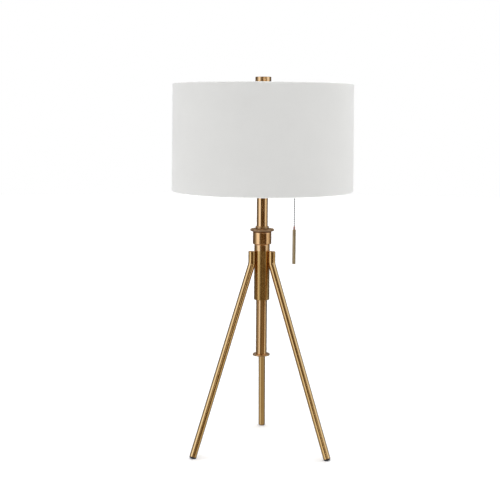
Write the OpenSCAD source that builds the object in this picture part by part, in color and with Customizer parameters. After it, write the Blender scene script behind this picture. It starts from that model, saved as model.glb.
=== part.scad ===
// Adjustable tripod table lamp with a drum shade.
// Millimetres, +Z up. The origin is on the table, on the axis of the lamp.
// +X is the side of the pull chain, +Y is the side of the rear leg.

/* [Tripod] */
// Radius from the lamp axis to the middle of each leg's lower end
foot_radius = 164.3; // [150:0.1:175]
// Height of the middle of each leg's lower end above the table
foot_height = 3.7; // [3.4:0.1:5]
// Outside diameter of the leg tube
leg_od = 15.4; // [13.6:0.1:15.4]
// Wall of the leg tube
leg_wall = 1.2; // [1:0.1:1.6]
// Height where each leg bends outwards
bend_height = 410.0; // [408:0.1:416]
// Radius of the bend, on the middle of the tube
bend_radius = 30; // [24:1:34]
// Height of the flat tops of the legs
leg_top = 436.5; // [436:0.1:442]
// Turn of the tripod about the lamp axis
leg_turn = -0.9; // [-3:0.1:3]

/* [Hub] */
// Outside diameter of the hub tube
hub_od = 33.6; // [32.4:0.1:33.6]
// Height of the hub's lower end
hub_bottom = 330.5; // [326:0.1:336]
// Height of the hub's shoulder under the lock collar
hub_shoulder = 450; // [446:0.1:450.4]
// Outside diameter of the lock collar
collar_od = 40.4; // [38:0.1:41]
// Diameter of the grip flange on top of the lock collar
flange_od = 51.2; // [44:0.1:52]
// Diameter of the collet's lip above the grip flange
collet_lip_od = 29; // [28.4:0.1:30]

/* [Riser] */
// Outside diameter of the riser tube
riser_od = 24; // [23.9:0.02:24.1]
// Wall of the riser tube
riser_wall = 1.2; // [1:0.1:1.3]
// Height of the riser's lower end, at its lowest
riser_bottom = 207.4; // [206:0.1:212]
// Height of the riser's upper end
riser_top = 566; // [565.5:0.1:567]
// Diameter of the stop flange at the riser's lower end
stop_od = 37.9; // [34.5:0.1:40]
// Diameter of the cord hole in the riser's lower end
cord_hole_d = 8; // [6:0.1:10]

/* [Shade] */
// Outside diameter of the shade at its top rim
shade_top_d = 380.5; // [370:0.5:384]
// Outside diameter of the shade at its bottom rim
shade_bottom_d = 385.5; // [379:0.5:392]
// Height of the shade's bottom rim above the table
shade_bottom = 565; // [562:0.1:567]
// Height of the shade from rim to rim
shade_height = 225; // [222:0.1:226]
// Diameter of the finial
finial_od = 34.1; // [28:0.1:38]
// Height of the finial's flat top above the table
finial_top = 804.8; // [801:0.1:812]

/* [Switch] */
// Distance of the pull chain from the lamp axis
chain_offset = 68.7; // [66:0.1:75]
// Diameter of the pull chain
chain_d = 3.2; // [2.4:0.1:3.4]
// Diameter of the pendant on the chain
pendant_d = 7.2; // [6:0.1:8]
// Height of the pendant's upper end
pendant_top = 482; // [470:0.5:490]
// Length of the pendant
pendant_length = 74; // [60:0.5:80]

/* [Hidden] */
$fn = 96;
// Straight runs meet bends with a short lap and a step of a few hundredths
lap = 0.5;
lap_step = 0.02;

brass = "#b98a4a";
satin_brass = "#a5834c";
bronze = "#8c6f3c";
steel = "#b9bcc0";
off_white = "#dedede";
black = "#222222";

// Tripod
leg_r = leg_od / 2;
hub_r = hub_od / 2;
stub_r = hub_r + leg_r + 0.15;
leg_tilt = atan((foot_radius - stub_r) / (bend_height - foot_height));
bend_start = bend_height + bend_radius * tan(leg_tilt / 2);
leg_run = norm([foot_radius - stub_r, bend_height - foot_height]) - bend_radius * tan(leg_tilt / 2);
leg_azimuths = [210 + leg_turn, 330 + leg_turn, 90 + leg_turn];
screw_heights = [leg_top - 14, leg_top - 5.2];
plug_r = leg_r - leg_wall - 0.05;

// Hub
hub_bore_r = 14;
neck_r = 15.4;
neck_top = hub_shoulder + 24;
collar_bottom = hub_shoulder + 1;
collar_top = hub_shoulder + 28.2;
flange_bottom = collar_top + 1;
flange_top = flange_bottom + 5;
collet_top = flange_top + 5.3;

// Riser
riser_r = riser_od / 2;
slide_r = riser_r + 0.07;
cap_z = riser_top;
saddle_z = riser_top + 4;
arm_z = 601;
bell_z = 587;
pivot = [chain_offset, 0, bell_z];
coupling_top = pendant_top + 8;

// Harp, in the plane across the lamp from front to rear
harp_wire_r = 1.8;
harp_foot_y = 29;
harp_foot_z = saddle_z + 17;
harp_foot_h = 20;
harp_a = 30;
harp_r1 = 28;
harp_run = 20;
harp_r2 = 60;
harp_r3 = 38;
harp_top_z = 772;
harp_p1 = [harp_foot_y + harp_r1 * (1 - cos(harp_a)), harp_foot_z + harp_foot_h + harp_r1 * sin(harp_a)];
harp_p2 = harp_p1 + harp_run * [sin(harp_a), cos(harp_a)];
harp_p3 = harp_p2 + harp_r2 * [1 - cos(harp_a), sin(harp_a)];

// Shade
shade_top = shade_bottom + shade_height;
cloth = 0.6;
liner = 0.7;
spider_z = 778.3;
function shade_r(z) = (shade_bottom_d + (shade_top_d - shade_bottom_d) * (z - shade_bottom) / shade_height) / 2;

module tube(r, wall, z0, z1) {
    difference() {
        translate([0, 0, z0]) cylinder(r = r, h = z1 - z0);
        translate([0, 0, z0 - 1]) cylinder(r = r - wall, h = z1 - z0 + 2);
    }
}

module ring(r_in, r_out, z0, z1) {
    difference() {
        translate([0, 0, z0]) cylinder(r = r_out, h = z1 - z0);
        translate([0, 0, z0 - 1]) cylinder(r = r_in, h = z1 - z0 + 2);
    }
}

// A bent rod along the middle of one leg, drawn outwards along +X.
// The sloping run is a hair thinner than the bend and starts inside it.
module leg_rod(r, over) {
    translate([stub_r, 0, bend_start]) cylinder(r = r, h = leg_top - bend_start + over);
    translate([stub_r + bend_radius, 0, bend_start]) {
        rotate([90, 0, 0]) rotate([0, 0, 180])
            rotate_extrude(angle = leg_tilt) translate([bend_radius, 0]) circle(r = r);
        rotate([0, -leg_tilt, 0]) translate([-bend_radius, 0, -leg_run - over])
            cylinder(r = r - lap_step, h = leg_run + over + lap);
    }
}

module leg(azimuth) {
    rotate([0, 0, azimuth]) difference() {
        leg_rod(leg_r, 0);
        leg_rod(leg_r - leg_wall, 1);
        for (z = screw_heights)
            translate([stub_r - leg_r - 1, 0, z]) rotate([0, 90, 0]) cylinder(r = 2.2, h = 4);
    }
}

module leg_left() { color(brass) leg(leg_azimuths[0]); }
module leg_right() { color(brass) leg(leg_azimuths[1]); }
module leg_rear() { color(brass) leg(leg_azimuths[2]); }

// Solid plugs in the tops of the legs, tapped for the leg screws
module leg_top_plugs() {
    color(brass) for (a = leg_azimuths) rotate([0, 0, a]) difference() {
        translate([stub_r, 0, leg_top - 18]) cylinder(r = plug_r, h = 17.7);
        for (z = screw_heights)
            translate([stub_r - leg_r, 0, z]) rotate([0, 90, 0]) cylinder(r = 2, h = 11);
    }
}

// Pan head screws from inside the hub, two to each leg
module leg_screws() {
    color(steel) for (a = leg_azimuths) rotate([0, 0, a]) for (z = screw_heights)
        translate([13.5, 0, z]) rotate([0, 90, 0]) {
            cylinder(r = 3.3, h = 1.5);
            translate([0, 0, 1.5]) cylinder(r = 1.95, h = 9.5);
        }
}

// Rubber plugs in the lower ends of the legs, flat where they rest
module foot_plugs() {
    color(black) for (a = leg_azimuths) rotate([0, 0, a]) intersection() {
        translate([foot_radius, 0, foot_height]) rotate([0, 180 - leg_tilt, 0]) {
            cylinder(r = leg_r - 0.5, h = 3.2);
            translate([0, 0, -14]) cylinder(r = plug_r, h = 14);
        }
        translate([foot_radius - 40, -40, 0]) cube([80, 80, 40]);
    }
}

module hub_tube() {
    color(satin_brass) difference() {
        union() {
            translate([0, 0, hub_bottom]) cylinder(r = hub_r, h = hub_shoulder - hub_bottom);
            translate([0, 0, hub_shoulder]) cylinder(r = neck_r, h = neck_top - hub_shoulder);
        }
        translate([0, 0, hub_bottom - 1]) cylinder(r = hub_bore_r, h = neck_top - hub_bottom + 2);
        for (a = leg_azimuths, z = screw_heights) rotate([0, 0, a]) {
            translate([12, 0, z]) rotate([0, 90, 0]) cylinder(r = 2.2, h = 6);
            translate([12, 0, z]) rotate([0, 90, 0]) cylinder(r = 3.6, h = 3);
        }
    }
}

// Plain bush that guides the riser in the hub's lower end
module lower_guide() { color(black) ring(slide_r + 0.05, hub_bore_r - 0.02, hub_bottom + 1, hub_bottom + 15); }

// Split bush that the lock collar squeezes onto the riser
module split_collet() {
    color(brass) difference() {
        union() {
            ring(slide_r, hub_bore_r - 0.06, neck_top - 34, neck_top + 0.5);
            ring(slide_r, 13.1, neck_top + 0.5, flange_top + 0.4);
            ring(slide_r, collet_lip_od / 2, flange_top + 0.4, collet_top);
        }
        for (a = [30, 90, 150]) rotate([0, 0, a])
            translate([-20, -0.6, neck_top - 18]) cube([40, 1.2, 60]);
    }
}

// Ring nut with a rounded top shoulder and a chamfered lower edge
module lock_collar() {
    r = collar_od / 2;
    s = 2.2;
    color(brass) rotate_extrude() polygon(concat(
        [[15.55, collar_bottom], [r - 1.3, collar_bottom], [r, collar_bottom + 1.3]],
        [for (t = [0:15:90]) [r - s + s * cos(t), collar_top - s + s * sin(t)]],
        [[13.4, collar_top], [13.4, collar_top - 3.2], [15.55, collar_top - 3.2]]
    ));
}

// Wide disc that the fingers pull against, on a short neck
module grip_flange() {
    r = flange_od / 2;
    e = 1.2;
    color(brass) rotate_extrude() polygon(concat(
        [[13.4, collar_top], [17, collar_top], [17, flange_bottom], [r - e, flange_bottom]],
        [for (t = [-90:22.5:0]) [r - e + e * cos(t), flange_bottom + e + e * sin(t)]],
        [for (t = [0:22.5:90]) [r - e + e * cos(t), flange_top - e + e * sin(t)]],
        [[13.4, flange_top]]
    ));
}

module riser_tube() { color(brass) tube(riser_r, riser_wall, riser_bottom, riser_top); }

// Disc that stops the riser against the hub when it is pulled up
module stop_flange() {
    r = stop_od / 2;
    e = 1;
    color(brass) rotate_extrude() polygon(concat(
        [[riser_r + 0.02, riser_bottom]],
        [for (t = [-90:22.5:0]) [r - e + e * cos(t), riser_bottom + e + e * sin(t)]],
        [for (t = [0:22.5:90]) [r - e + e * cos(t), riser_bottom + 3.4 - e + e * sin(t)]],
        [[riser_r + 0.02, riser_bottom + 3.4]]
    ));
}

// Round-edged bush for the supply cord, in the riser's lower end
module cord_bushing() {
    color(black) difference() {
        union() {
            translate([0, 0, riser_bottom - 1.2]) cylinder(r = riser_r - 0.3, h = 1.2);
            translate([0, 0, riser_bottom]) cylinder(r = riser_r - riser_wall - 0.05, h = 10);
        }
        translate([0, 0, riser_bottom - 2]) cylinder(r = cord_hole_d / 2, h = 14);
    }
}

// Turned cap in the riser's upper end
module neck_cap() {
    color(brass) difference() {
        union() {
            translate([0, 0, cap_z - 12]) cylinder(r = riser_r - riser_wall - 0.05, h = 12);
            translate([0, 0, cap_z]) cylinder(r = 15, h = 3);
            translate([0, 0, cap_z + 3]) cylinder(r1 = 15, r2 = 13.5, h = 1);
        }
        translate([0, 0, cap_z - 14]) cylinder(r = 5.05, h = 20);
    }
}

module nipple() { color(brass) ring(3.2, 4.95, cap_z - 20, saddle_z + 10); }

module nipple_nut() {
    color(brass) difference() {
        translate([0, 0, cap_z - 17.5]) cylinder(r = 8, h = 5.5, $fn = 6);
        translate([0, 0, cap_z - 19]) cylinder(r = 5, h = 10);
    }
}

// Strip with two turned-up ends that the harp's feet drop over
module harp_saddle() {
    color(brass) {
        difference() {
            translate([-6.5, -harp_foot_y - 0.8, saddle_z]) cube([13, 2 * harp_foot_y + 1.6, 1.6]);
            translate([0, 0, saddle_z - 1]) cylinder(r = 5.05, h = 4);
        }
        for (s = [-1, 1]) {
            translate([-2.6, s * harp_foot_y - 0.8, saddle_z + 1.6]) cube([5.2, 1.6, 4.4]);
            translate([-1.4, s * harp_foot_y - 0.8, saddle_z + 6]) cube([2.8, 1.6, 10.7]);
        }
    }
}

// The bends of the harp's wire on the +Y side, from the foot up
module harp_bends() {
    translate([0, harp_foot_y + harp_r1, harp_foot_z + harp_foot_h]) rotate([90, 0, 90]) rotate([0, 0, 180 - harp_a])
        rotate_extrude(angle = harp_a) translate([harp_r1, 0]) circle(r = harp_wire_r);
    translate([0, harp_p3[0] - harp_r2, harp_p3[1]]) rotate([90, 0, 90]) rotate([0, 0, -harp_a])
        rotate_extrude(angle = harp_a) translate([harp_r2, 0]) circle(r = harp_wire_r);
    translate([0, harp_p3[0] - harp_r3, harp_top_z - harp_r3]) rotate([90, 0, 90])
        rotate_extrude(angle = 90) translate([harp_r3, 0]) circle(r = harp_wire_r);
}

// The straight runs between them, which start and end inside the bends
module harp_runs() {
    r = harp_wire_r - lap_step;
    translate([0, harp_foot_y, harp_foot_z]) cylinder(r = r, h = harp_foot_h + lap);
    translate([0, harp_p1[0], harp_p1[1]]) rotate([-harp_a, 0, 0])
        translate([0, 0, -lap]) cylinder(r = r, h = harp_run + 2 * lap);
    translate([0, harp_p3[0], harp_p3[1] - lap]) cylinder(r = r, h = harp_top_z - harp_r3 - harp_p3[1] + 2 * lap);
}

module harp() {
    top_y = harp_p3[0] - harp_r3 + lap;
    color(brass) {
        harp_bends();
        harp_runs();
        mirror([0, 1, 0]) harp_bends();
        mirror([0, 1, 0]) harp_runs();
        translate([0, -top_y, harp_top_z]) rotate([-90, 0, 0]) cylinder(r = harp_wire_r - lap_step, h = 2 * top_y);
    }
}

// Crimped block on the harp's top, with the stud that carries the shade
module harp_stud() {
    color(brass) difference() {
        union() {
            translate([0, 0, harp_top_z - 3]) cylinder(r = 8, h = 9);
            translate([0, 0, harp_top_z + 6]) cylinder(r = 3.1, h = 18);
        }
        translate([0, -10, harp_top_z]) rotate([-90, 0, 0]) cylinder(r = harp_wire_r + 0.05, h = 20);
    }
}

module harp_sleeve(s) {
    color(brass) translate([0, s * harp_foot_y, 0]) ring(2.1, 3.1, saddle_z + 6.2, saddle_z + 24);
}
module harp_sleeve_front() { harp_sleeve(-1); }
module harp_sleeve_rear() { harp_sleeve(1); }

// Drawn cup under the lampholder
module socket_cap() {
    z = saddle_z + 1.6;
    color(brass) rotate_extrude() polygon([
        [5.05, z], [9, z], [9.6, z + 3], [13.5, z + 6.5], [17, z + 12], [18.2, z + 16], [18.2, z + 21],
        [17.6, z + 21], [17.6, z + 16.2], [16.3, z + 12.5], [12.8, z + 7.2], [8.6, z + 3.6], [8.4, z + 1], [5.05, z + 1]
    ]);
}

module arm_hole(r) { translate([10, 0, arm_z]) rotate([0, 90, 0]) cylinder(r = r, h = 12); }

module socket_shell() {
    color(brass) difference() {
        union() {
            tube(17.5, 0.6, saddle_z + 18, saddle_z + 66);
            ring(16.9, 18.1, saddle_z + 40, saddle_z + 41.5);
        }
        arm_hole(4.3);
    }
}

module insulating_sleeve() {
    color("#8a7a62") difference() {
        tube(16.85, 0.6, saddle_z + 18.5, saddle_z + 65);
        arm_hole(4.3);
    }
}

module switch_body() {
    color(black) difference() {
        translate([0, 0, saddle_z + 17]) cylinder(r = 15.4, h = 20);
        translate([10.5, 0, arm_z]) rotate([0, 90, 0]) cylinder(r = 4.1, h = 8);
        translate([0, 0, saddle_z + 16]) cylinder(r = 5, h = 5);
    }
}

// Threaded shell that the bulb screws into
module screw_shell() {
    color(steel) {
        ring(13.5, 14.1, saddle_z + 39, saddle_z + 62);
        ring(6.5, 14.1, saddle_z + 37, saddle_z + 39);
    }
}

// Sprung tongue under the bulb's centre contact
module centre_contact() {
    color(brass) {
        translate([-2, -4, saddle_z + 37]) cube([4, 8, 0.8]);
        translate([0, 0, saddle_z + 37.8]) cylinder(r1 = 2, r2 = 1.6, h = 1.8);
    }
}

// Tube that carries the chain from the switch out to the side
module arm_rod(r) {
    translate([11.5, 0, arm_z]) rotate([0, 90, 0]) cylinder(r = r, h = chain_offset - 8 - 11.5);
    translate([chain_offset - 8, 0, arm_z - 8]) rotate([90, 0, 0])
        rotate_extrude(angle = 90) translate([8, 0]) circle(r = r);
    translate([chain_offset, 0, bell_z + 4]) cylinder(r = r, h = arm_z - 8 - bell_z - 4);
}

module switch_arm() {
    color(brass) difference() {
        arm_rod(4);
        translate([chain_offset, 0, bell_z + 3]) cylinder(r = 2.8, h = arm_z - bell_z - 3.5);
        translate([11, 0, arm_z]) rotate([0, 90, 0]) cylinder(r = 2.6, h = chain_offset - 14);
    }
}

// Flared end where the chain leaves the arm
module bell_mouth() {
    color(brass) translate([chain_offset, 0, 0]) rotate_extrude() polygon([
        [2.6, bell_z + 4], [2.6, bell_z + 1.6], [3.1, bell_z + 0.5], [4.4, bell_z - 0.6], [5.6, bell_z - 1],
        [5.9, bell_z - 0.3], [5.2, bell_z + 0.8], [5, bell_z + 4]
    ]);
}

// Rod inside the bell that the chain pulls down
module pull_link() {
    color(steel) translate([chain_offset, 0, bell_z + 1.9]) cylinder(r = 1.2, h = 9);
}

// First bead of the chain, at the point it swings from
module chain_bead() { color(steel) translate(pivot) sphere(r = chain_d / 2); }

module pull_chain() {
    color(steel) translate([chain_offset, 0, coupling_top]) cylinder(r = chain_d / 2, h = bell_z - 1.9 - coupling_top);
}

// Bell that holds the chain's last bead and screws into the pendant
module chain_coupling() {
    color(brass) translate([chain_offset, 0, 0]) rotate_extrude() polygon([
        [0, pendant_top], [2.3, pendant_top], [2.3, pendant_top + 4.4], [1.9, pendant_top + 7], [1.3, coupling_top], [0, coupling_top]
    ]);
}

module pull_pendant() {
    r = pendant_d / 2;
    color(bronze) translate([chain_offset, 0, 0]) rotate_extrude() polygon([
        [0, pendant_top - pendant_length], [r - 0.6, pendant_top - pendant_length],
        [r, pendant_top - pendant_length + 0.6], [r, pendant_top - 0.6], [r - 0.6, pendant_top], [0, pendant_top]
    ]);
}

module cone_wall(out_top, out_bottom, t, z0, z1) {
    rotate_extrude() polygon([
        [out_bottom - t, z0], [out_bottom, z0], [out_top, z1], [out_top - t, z1]
    ]);
}

module shade_fabric() {
    color(off_white) cone_wall(shade_top_d / 2, shade_bottom_d / 2, cloth, shade_bottom, shade_top);
}

module shade_liner() {
    glue = 0.02;
    z0 = shade_bottom + 0.4;
    z1 = shade_top - 0.4;
    color("white") cone_wall(shade_r(z1) - cloth - glue, shade_r(z0) - cloth - glue, liner, z0, z1);
}

module wire_ring(major, z, r) { color("white") translate([0, 0, z]) rotate_extrude() translate([major, 0]) circle(r = r); }
module shade_top_ring() { wire_ring(shade_top_d / 2 - cloth - liner - 2.05, shade_top - 2.6, 2); }
module shade_bottom_ring() { wire_ring(shade_bottom_d / 2 - cloth - liner - 2.1, shade_bottom + 2.6, 2); }

// Washer on the harp's stud with three arms out to the top ring
module shade_spider() {
    reach = shade_top_d / 2 - cloth - liner - 4.2;
    rise = shade_top - 2.6 - (spider_z + 0.9);
    color("white") difference() {
        union() {
            translate([0, 0, spider_z]) cylinder(r = 15, h = 1.6);
            for (a = [90, 210, 330]) rotate([0, 0, a])
                translate([12, 0, spider_z + 0.9]) rotate([0, 90 - atan(rise / (reach - 12)), 0])
                    cylinder(r = 1.5, h = norm([rise, reach - 12]));
        }
        translate([0, 0, spider_z - 1]) cylinder(r = 3.5, h = 6);
        translate([0, 0, spider_z - 3]) cylinder(r = 17, h = 3);
        translate([0, 0, spider_z + 1.6]) cylinder(r = 17.5, h = 4);
    }
}

// Plain flat-topped knob that screws down onto the spider
module finial() {
    r = finial_od / 2;
    color(brass) difference() {
        rotate_extrude() polygon([
            [0, spider_z + 1.9], [r - 0.5, spider_z + 1.9], [r, spider_z + 2.4],
            [r, finial_top - 0.6], [r - 0.6, finial_top], [0, finial_top]
        ]);
        translate([0, 0, spider_z]) cylinder(r = 3.2, h = 19.5);
    }
}

// Outline of the bulb's glass: a round top that runs down into the neck
bulb_c = 686;
bulb_r = 30;
glass_top = [for (t = [90:-10:-40]) [bulb_r * cos(t), bulb_c + bulb_r * sin(t)]];
glass_neck = [[20.6, 659], [17.8, 652], [15.2, 646], [13.2, 641.5], [12.55, 639.5], [12.55, 632.5]];
function inset(p, t) = [for (q = p) [max(0, q[0] - t * (q[1] > bulb_c ? (q[0] / bulb_r) : 1)), q[1] - t * max(0, (q[1] - bulb_c) / bulb_r)]];

module bulb_glass() {
    outline = concat(glass_top, glass_neck);
    inner = inset(outline, 1);
    n = len(outline);
    color("white", 0.9) rotate_extrude() polygon(concat(outline, [for (i = [n - 1:-1:0]) inner[i]]));
}

module bulb_base() {
    z = saddle_z + 42;
    color(steel) rotate_extrude() polygon([
        [4.6, z], [7, z], [12.2, z + 4], [13.2, z + 5], [13.2, z + 24], [13.7, z + 25], [13.7, z + 29], [13.2, z + 29],
        [13.2, z + 25.4], [12.6, z + 24], [12.6, z + 5.4], [6.8, z + 1], [4.6, z + 1]
    ]);
}

module bulb_contact() {
    z = saddle_z + 40.2;
    color(black) rotate_extrude() polygon([
        [0, z], [2.4, z], [3, z + 1], [4.55, z + 1.8], [4.55, z + 3], [0, z + 3]
    ]);
}

hub_tube();
leg_left();
leg_right();
leg_rear();
leg_top_plugs();
leg_screws();
foot_plugs();
lower_guide();
lock_collar();
grip_flange();
split_collet();
riser_tube();
stop_flange();
cord_bushing();
neck_cap();
nipple();
nipple_nut();
harp_saddle();
socket_cap();
socket_shell();
insulating_sleeve();
switch_body();
screw_shell();
centre_contact();
switch_arm();
bell_mouth();
harp();
harp_stud();
harp_sleeve_front();
harp_sleeve_rear();
shade_fabric();
shade_liner();
shade_top_ring();
shade_bottom_ring();
shade_spider();
finial();
bulb_glass();
bulb_base();
bulb_contact();
pull_link();
chain_bead();
pull_chain();
chain_coupling();
pull_pendant();
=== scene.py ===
# Looks of the adjustable tripod table lamp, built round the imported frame.
# Metres, +Z up. +X is the side of the pull chain, +Y is the side of the rear leg.
# Profiles and paths are written in millimetres and scaled by MM.
import bpy, bmesh, math
from mathutils import Matrix, Vector


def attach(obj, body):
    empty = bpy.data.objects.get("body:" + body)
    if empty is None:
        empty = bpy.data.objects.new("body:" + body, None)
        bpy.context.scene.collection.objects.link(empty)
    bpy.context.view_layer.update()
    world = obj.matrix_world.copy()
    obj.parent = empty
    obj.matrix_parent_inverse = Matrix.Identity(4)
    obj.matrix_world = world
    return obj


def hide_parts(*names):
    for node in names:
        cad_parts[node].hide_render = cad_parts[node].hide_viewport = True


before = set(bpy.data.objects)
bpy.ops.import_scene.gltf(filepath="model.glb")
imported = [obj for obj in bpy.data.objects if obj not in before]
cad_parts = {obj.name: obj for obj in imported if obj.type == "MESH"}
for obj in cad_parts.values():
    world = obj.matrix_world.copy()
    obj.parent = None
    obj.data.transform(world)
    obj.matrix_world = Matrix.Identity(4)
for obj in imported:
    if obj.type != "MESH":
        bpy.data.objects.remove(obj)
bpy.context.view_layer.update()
scene = bpy.context.scene
scene.view_settings.view_transform = "Standard"
scene.view_settings.look = "None"

MM = 0.001
PI = math.pi


# ------------------------------------------------------------------ camera
def make_camera():
    yaw, pitch, roll = -0.01103, math.radians(7.635), math.radians(0.36)
    look = Vector((math.sin(yaw) * math.cos(pitch), math.cos(yaw) * math.cos(pitch), -math.sin(pitch)))
    side = look.cross(Vector((0, 0, 1))).normalized()
    up = side.cross(look)
    side, up = (
        side * math.cos(roll) + up * math.sin(roll),
        up * math.cos(roll) - side * math.sin(roll),
    )
    data = bpy.data.cameras.new("camera")
    data.lens = 74.32
    data.sensor_width = 36.0
    data.clip_start, data.clip_end = 0.05, 60.0
    cam = bpy.data.objects.new("camera", data)
    scene.collection.objects.link(cam)
    m = Matrix((side, up, -look)).transposed().to_4x4()
    m.translation = Vector((-0.0015, -2.1968, 0.7321))
    cam.matrix_world = m
    scene.camera = cam


make_camera()


# ------------------------------------------------------------------ mesh tools
def finish_mesh(name, verts, faces, material, body, slot, replaces=(), angle=32, straight=None):
    """A mesh object in metres: normals outwards, sharp edges marked, riding on a body."""
    me = bpy.data.meshes.new(name)
    me.from_pydata([tuple(v) for v in verts], [], faces)
    if straight is not None:
        layer = me.attributes.new("straight", "FLOAT_VECTOR", "POINT")
        layer.data.foreach_set("vector", [c for p in straight for c in p])
    bm = bmesh.new()
    bm.from_mesh(me)
    bmesh.ops.recalc_face_normals(bm, faces=bm.faces[:])
    limit = math.radians(angle)
    for f in bm.faces:
        f.smooth = True
    for e in bm.edges:
        e.smooth = len(e.link_faces) == 2 and e.calc_face_angle(0.0) < limit
    bm.to_mesh(me)
    bm.free()
    ob = bpy.data.objects.new(name, me)
    scene.collection.objects.link(ob)
    ob.data.materials.append(material)
    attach(ob, body)
    if replaces:
        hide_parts(*replaces)
    return ob


def rounded(corners, steps=5):
    """Corners (r, z) or (r, z, fillet) in mm; a fillet turns the corner into an arc."""
    out = []
    n = len(corners)
    for i, c in enumerate(corners):
        f = c[2] if len(c) > 2 else 0.0
        p = Vector(c[:2])
        if f <= 0:
            out.append((p.x, p.y))
            continue
        a = (Vector(corners[i - 1][:2]) - p)
        b = (Vector(corners[(i + 1) % n][:2]) - p)
        la, lb = a.length, b.length
        a, b = a / la, b / lb
        half = math.acos(max(-1, min(1, a.dot(b)))) / 2
        t = min(f / math.tan(half), la * 0.49, lb * 0.49)
        r = t * math.tan(half)
        mid = (a + b).normalized() * (r / math.sin(half)) + p
        s, e = p + a * t - mid, p + b * t - mid
        turn = s.angle_signed(e)
        for k in range(steps + 1):
            q = s.copy()
            q.rotate(Matrix.Rotation(-turn * k / steps, 2))
            out.append((mid.x + q.x, mid.y + q.y))
    return out


def braced(profile, closed=True):
    """The same line with a point close to both ends of every long stretch, so that it shades straight."""
    out = []
    n = len(profile)
    for i, a in enumerate(profile):
        out.append(tuple(a))
        if i == n - 1 and not closed:
            break
        b = profile[(i + 1) % n]
        d = math.hypot(b[0] - a[0], b[1] - a[1])
        if d > 1.8:
            t = 0.3 / d
            for u in (t, 1 - t):
                out.append((a[0] + (b[0] - a[0]) * u, a[1] + (b[1] - a[1]) * u))
    return out


def lathe(profile, n=96, closed=True, axis=None, start=0.0):
    """Verts and faces of a profile (r, z) in mm turned about an axis; (origin, matrix) if not the lamp's."""
    profile = braced(profile, closed)
    verts, rows = [], []
    for r, z in profile:
        if r <= 1e-6:
            rows.append([len(verts)])
            verts.append(Vector((0, 0, z)))
        else:
            rows.append(list(range(len(verts), len(verts) + n)))
            verts += [
                Vector((r * math.cos(start + 2 * PI * k / n), r * math.sin(start + 2 * PI * k / n), z)) for k in range(n)
            ]
    faces = []
    pairs = list(zip(rows, rows[1:])) + ([(rows[-1], rows[0])] if closed else [])
    for a, b in pairs:
        if len(a) == 1 and len(b) == 1:
            continue
        for k in range(n):
            j = (k + 1) % n
            if len(a) == 1:
                faces.append((a[0], b[j], b[k]))
            elif len(b) == 1:
                faces.append((a[k], a[j], b[0]))
            else:
                faces.append((a[k], a[j], b[j], b[k]))
    if axis is not None:
        verts = [axis @ (v * MM) for v in verts]
    else:
        verts = [v * MM for v in verts]
    return verts, faces


def join(*parts):
    verts, faces = [], []
    for v, f in parts:
        n = len(verts)
        verts += list(v)
        faces += [tuple(i + n for i in q) for q in f]
    return verts, faces


def moved(part, matrix):
    return [matrix @ v for v in part[0]], part[1]


def arc_lengths(path):
    s = [0.0]
    for a, b in zip(path, path[1:]):
        s.append(s[-1] + (b - a).length)
    return s


def sweep(path, rows, n=32, first=None, closed=False):
    """A rod or tube along path (mm). rows are (index on the path, a, b, shift): a ring with half sizes
    a and b there, moved by shift along the path. Returns verts, faces and their unbent places, in metres."""
    s = arc_lengths(path)
    tangents = []
    for i in range(len(path)):
        a, b = path[max(0, i - 1)], path[min(len(path) - 1, i + 1)]
        tangents.append((b - a).normalized())
    side = Vector(first) if first else tangents[0].orthogonal().normalized()
    frames = []
    for i, t in enumerate(tangents):
        if i:
            side = side.copy()
            side.rotate(tangents[i - 1].rotation_difference(t))
        side = (side - t * side.dot(t)).normalized()
        frames.append((side.copy(), t.cross(side)))
    verts, straight, rings = [], [], []
    for i, a, b, shift in rows:
        c = path[i] + tangents[i] * shift
        u, v = frames[i]
        if a <= 1e-6:
            rings.append([len(verts)])
            verts.append(c * MM)
            straight.append((0, 0, (s[i] + shift) * MM))
            continue
        rings.append(list(range(len(verts), len(verts) + n)))
        for k in range(n):
            t = 2 * PI * k / n
            verts.append((c + u * a * math.cos(t) + v * b * math.sin(t)) * MM)
            straight.append((a * math.cos(t) * MM, a * math.sin(t) * MM, (s[i] + shift) * MM))
    faces = []
    pairs = list(zip(rings, rings[1:])) + ([(rings[-1], rings[0])] if closed else [])
    for p, q in pairs:
        for k in range(n):
            j = (k + 1) % n
            if len(p) == 1 and len(q) == 1:
                continue
            if len(p) == 1:
                faces.append((p[0], q[j], q[k]))
            elif len(q) == 1:
                faces.append((p[k], p[j], q[0]))
            else:
                faces.append((p[k], p[j], q[j], q[k]))
    return verts, faces, straight


def arc(centre, radius, a0, a1, n, plane="xz"):
    """Points on an arc, from a0 to a1 degrees, in the XZ or YZ plane."""
    out = []
    for k in range(n + 1):
        t = math.radians(a0 + (a1 - a0) * k / n)
        c, z = centre[0] + radius * math.cos(t), centre[1] + radius * math.sin(t)
        out.append(Vector((c, 0, z)) if plane == "xz" else Vector((0, c, z)))
    return out


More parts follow.
